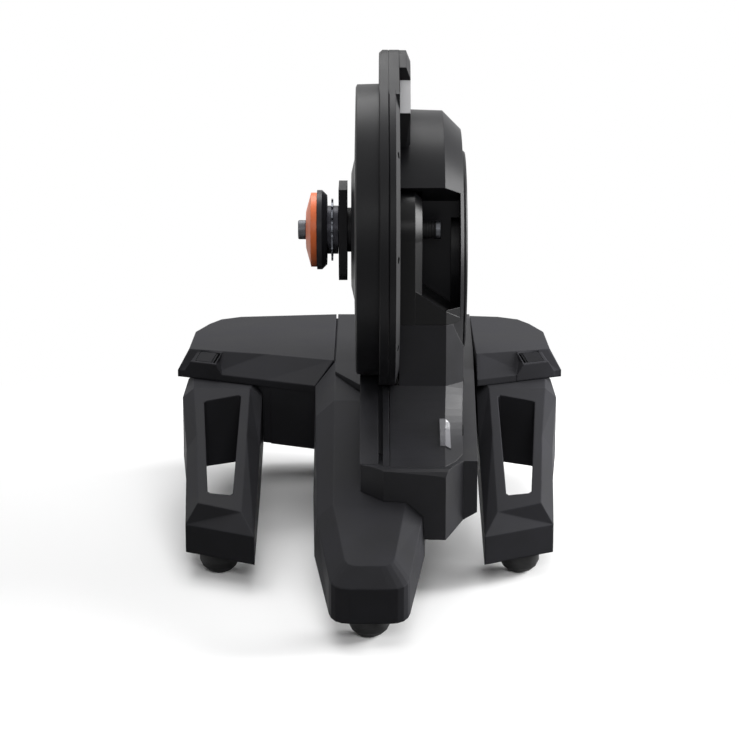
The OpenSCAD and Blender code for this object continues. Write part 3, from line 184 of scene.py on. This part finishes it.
def vulcanisedRubber(p, name):
    mat, tree, out, coord = startMaterial(name)
    speck = noisePatches(tree, coord, p["speckMm"], 2.0)
    bloom = noisePatches(tree, coord, p["bloomMm"], 5.0, {"Roughness": 0.6})
    normal = raised(tree, speck, p["speckHeightMm"], p["speckStrength"])
    finishSurface(tree, out, p, coloursBetween(tree, bloom, p["dark"], p["light"]), bloom, normal)
    return mat


# each finish: how it is made, its material's name, what differs from the plain one, and the pieces that wear it
finishes = {
    # charcoal castings of the base, the arms and the legs
    "castingPaint": (powderCoatedCasting, castPaint, "powderCoatedCastAluminium", {},
                     ["front_leg", "base_body", "left_arm", "right_arm", "left_leg", "right_leg"]),
    "platePaint": (powderCoatedCasting, castPaint, "powderCoatedPlate", {"light": "#2c2c2e"}, ["top_plate"]),
    # black and a little glossier, round the frame end
    "corePaint": (powderCoatedCasting, castPaint, "blackPaintedCoreCasting",
                  {"dark": "#0b0b0c", "light": "#0f0f10", "edge": "#111112", "spec": 0.12, "rough": (0.32, 0.38),
                   "roundMm": 0.6}, ["core_casting"]),
    # dark grey covers of the tower
    "shell": (mouldedPlastic, mouldedShell, "mouldedAbsShell", {}, ["tower_base", "tower_shell", "mast_shell"]),
    "ringShell": (mouldedPlastic, mouldedShell, "mouldedAbsRing", {"dark": "#121214", "light": "#171719"},
                  ["backplate", "ring_cover", "inner_guard"]),
    "coverShell": (mouldedPlastic, mouldedShell, "mouldedPolyamideCover",
                   {"dark": "#111113", "light": "#161618", "rough": (0.38, 0.46)}, ["pulley_cover", "carry_grip"]),
    "drumShell": (mouldedPlastic, mouldedShell, "mouldedAbsDrum",
                  {"dark": "#161618", "light": "#1a1a1c", "rough": (0.34, 0.42), "spec": 0.08},
                  ["flywheel_housing", "flywheel_cover"]),
    "buttonShell": (mouldedPlastic, mouldedShell, "mouldedPolyamideButton",
                    {"dark": "#1c1c1e", "light": "#212124", "spec": 0.03}, ["left_latch", "right_latch"]),
    # pale grey inlay on the front of the grip
    "panelShell": (mouldedPlastic, mouldedShell, "mouldedGreyPanel",
                   {"dark": "#c8c8ca", "light": "#d2d2d4", "rough": (0.3, 0.4), "spec": 0.4}, ["grip_panel"]),
    "guardShell": (mouldedPlastic, mouldedShell, "mouldedPolyamideGuard",
                   {"dark": "#202022", "light": "#28282b", "rough": (0.34, 0.42)}, ["guard_disc"]),
    # the one bright piece: orange disc at the axle's left end
    "orangeShell": (mouldedPlastic, mouldedShell, "mouldedOrangePolyamide",
                    {"dark": "#e06a34", "light": "#e8743e", "rough": (0.36, 0.44), "spec": 0.25}, ["cap_disc"]),
    # unlit grey lens, smoother than the shell round it
    "lightLens": (mouldedPlastic, mouldedShell, "smokedPolycarbonateLens",
                  {"dark": "#56565a", "light": "#626266", "rough": (0.2, 0.28), "spec": 0.4}, ["status_light"]),
    "socketShell": (mouldedPlastic, mouldedShell, "mouldedSocketNylon", {"dark": "#0e0e0f", "light": "#141415"},
                    ["power_socket", "right_spacer"]),
    # bright turned steel, mostly hidden
    "steel": (turnedMetal, turnedSteel, "turnedSteel", {},
              ["axle", "hub_shell", "flywheel_shaft", "left_latch_bolt", "right_latch_bolt", "left_pivot_pin",
               "right_pivot_pin", "hub_bearings", "flywheel_bearings", "foot_screws", "side_foot_screws_left",
               "side_foot_screws_right", "tensioner_bracket"]),
    # dark anodised ends of the axle
    "endCap": (turnedMetal, turnedSteel, "anodisedAluminiumCap",
               {"dark": "#38393c", "light": "#46474a", "rough": (0.36, 0.46)}, ["left_end_cap", "right_end_cap"]),
    "silverPulley": (turnedMetal, turnedSteel, "turnedAluminiumPulley", {"dark": "#a9abb0", "light": "#c6c8cc"},
                     ["idler_pulley", "flywheel_pulley"]),
    "blackAnodised": (turnedMetal, turnedSteel, "blackAnodisedAluminium",
                      {"dark": "#222225", "light": "#2d2d31", "rough": (0.35, 0.45)},
                      ["drive_pulley", "freehub_body", "ring_screws"]),
    "cogSteel": (turnedMetal, turnedSteel, "blackenedCogSteel",
                 {"dark": "#3e4044", "light": "#55575c", "rough": (0.3, 0.42)}, ["sprocket"]),
    "iron": (turnedMetal, turnedSteel, "turnedCastIron",
             {"dark": "#3c3e41", "light": "#505256", "rough": (0.4, 0.55), "ringMm": 1.0}, ["flywheel"]),
    # orange brown copper under clear enamel
    "coil": (turnedMetal, turnedSteel, "enamelledCopperCoil", {"dark": "#8a4c28", "light": "#a8623a", "ringMm": 1.2},
             ["brake_ring"]),
    # dull black feet
    "rubber": (vulcanisedRubber, footRubber, "vulcanisedFootRubber", {},
               ["front_foot", "rear_foot", "left_foot", "right_foot"]),
    "beltRubber": (vulcanisedRubber, footRubber, "ribbedBeltRubber", {"dark": "#0d0d0e", "light": "#151516"},
                   ["drive_belt"]),
    # green lacquer of a circuit board
    "board": (mouldedPlastic, mouldedShell, "solderMaskedGlassEpoxy",
              {"dark": "#12472a", "light": "#185634", "rough": (0.25, 0.35)}, ["control_board"]),
}
dressed = set()
for make, plain, materialName, changes, wearers in finishes.values():
    finish = make({**plain, **changes}, materialName)
    for wearer in wearers:
        nodes[wearer].data.materials.clear()
        nodes[wearer].data.materials.append(finish)
        dressed.add(wearer)
print("finishes made:", len(finishes))
print("parts without a finish:", sorted(set(nodes) - dressed))

# studio: pale floor that keeps the trainer's shadow and fades to white further out, white surroundings
studio = {
    "floorSize": 12.0, "floorDropM": 0.0005, "floorSeen": "#f6f6f6", "floorBounce": "#262626",
    "shadowReachM": (0.42, 0.8), "skyStrength": 0.05,
}
white = (1, 1, 1, 1)


def seenDirectly(tree):  # 1 for rays that show the surroundings, 0 for those that only carry light
    rays = addNode(tree, "ShaderNodeLightPath").outputs
    through = addNode(tree, "ShaderNodeMath", {"operation": "MAXIMUM"}, {
        0: rays["Is Camera Ray"], 1: rays["Is Transmission Ray"]})
    return addNode(tree, "ShaderNodeMath", {"operation": "MAXIMUM"}, {
        0: through.outputs["Value"], 1: rays["Is Glossy Ray"]}).outputs["Value"]


floorMesh = bpy.data.meshes.new("studioFloor")
floorGrid = bmesh.new()
bmesh.ops.create_grid(floorGrid, x_segments=1, y_segments=1, size=studio["floorSize"])
floorGrid.to_mesh(floorMesh)
floorGrid.free()
floor = bpy.data.objects.new("studioFloor", floorMesh)
floor.location = (0, 0, -studio["floorDropM"])
bpy.context.scene.collection.objects.link(floor)

# painted floor: near white where it is seen, dark where it would only light the trainer from below
floorMat, floorTree, floorOut = emptyMaterial("paintedStudioFloor")
floorIsSeen = seenDirectly(floorTree)
floorColour = addNode(floorTree, "ShaderNodeMix", {"data_type": "RGBA"}, {
    "Factor": floorIsSeen, "A": linear(studio["floorBounce"]), "B": linear(studio["floorSeen"])})
floorPaint = addNode(floorTree, "ShaderNodeBsdfDiffuse", None, {
    "Color": floorColour.outputs["Result"], "Roughness": 1.0})
floorPlace = addNode(floorTree, "ShaderNodeNewGeometry").outputs["Position"]
fromCentre = addNode(floorTree, "ShaderNodeVectorMath", {"operation": "LENGTH"}, {0: floorPlace})
farAway = addNode(floorTree, "ShaderNodeMapRange", {"interpolation_type": "SMOOTHSTEP"}, {
    "Value": fromCentre.outputs["Value"], "From Min": studio["shadowReachM"][0],
    "From Max": studio["shadowReachM"][1]})
fade = addNode(floorTree, "ShaderNodeMath", {"operation": "MULTIPLY"}, {
    0: farAway.outputs["Result"], 1: floorIsSeen})
floorGlow = addNode(floorTree, "ShaderNodeEmission", None, {"Color": white, "Strength": 1.0})
floorMix = addNode(floorTree, "ShaderNodeMixShader", None, {
    "Fac": fade.outputs["Value"], 1: floorPaint.outputs["BSDF"], 2: floorGlow.outputs["Emission"]})
floorTree.links.new(floorMix.outputs["Shader"], floorOut.inputs["Surface"])
floorMesh.materials.append(floorMat)

world = bpy.data.worlds.new("studioRoom")
bpy.context.scene.world = world
world.use_nodes = True
roomTree = world.node_tree
roomTree.nodes.clear()
roomOut = addNode(roomTree, "ShaderNodeOutputWorld")
roomLevel = addNode(roomTree, "ShaderNodeMapRange", None, {
    "Value": seenDirectly(roomTree), "To Min": studio["skyStrength"], "To Max": 1.0})
room = addNode(roomTree, "ShaderNodeBackground", None, {"Color": white, "Strength": roomLevel.outputs["Result"]})
roomTree.links.new(room.outputs["Background"], roomOut.inputs["Surface"])

lamps = {
    "overhead": {"place": (-0.4, 0.95, 2.2), "aim": (0, 0, 0.25), "size": (1.5, 1.2), "watts": 42},
    "ceiling": {"place": (0.15, -0.2, 2.5), "aim": (0, 0, 0.2), "size": (3.2, 3.0), "watts": 42},
    "rightPanel": {"place": (1.35, 0.2, 0.62), "aim": (0.05, 0, 0.34), "size": (0.8, 0.8), "watts": 48},
    "leftPanel": {"place": (-1.6, 0.1, 0.9), "aim": (-0.05, 0, 0.3), "size": (0.5, 0.8), "watts": 1.5},
    "frontFill": {"place": (0.2, -2.6, 1.5), "aim": (0, 0, 0.2), "size": (1.2, 0.8), "watts": 20},
}
for name, lamp in lamps.items():
    data = bpy.data.lights.new(name, "AREA")
    data.shape = "RECTANGLE"
    data.size, data.size_y = lamp["size"]
    data.energy = lamp["watts"]
    light = bpy.data.objects.new(name, data)
    light.location = lamp["place"]
    light.rotation_euler = (Vector(lamp["aim"]) - Vector(lamp["place"])).to_track_quat("-Z", "Y").to_euler()
    bpy.context.scene.collection.objects.link(light)
print("studio lit")

bpy.context.scene.view_settings.view_transform = "Standard"
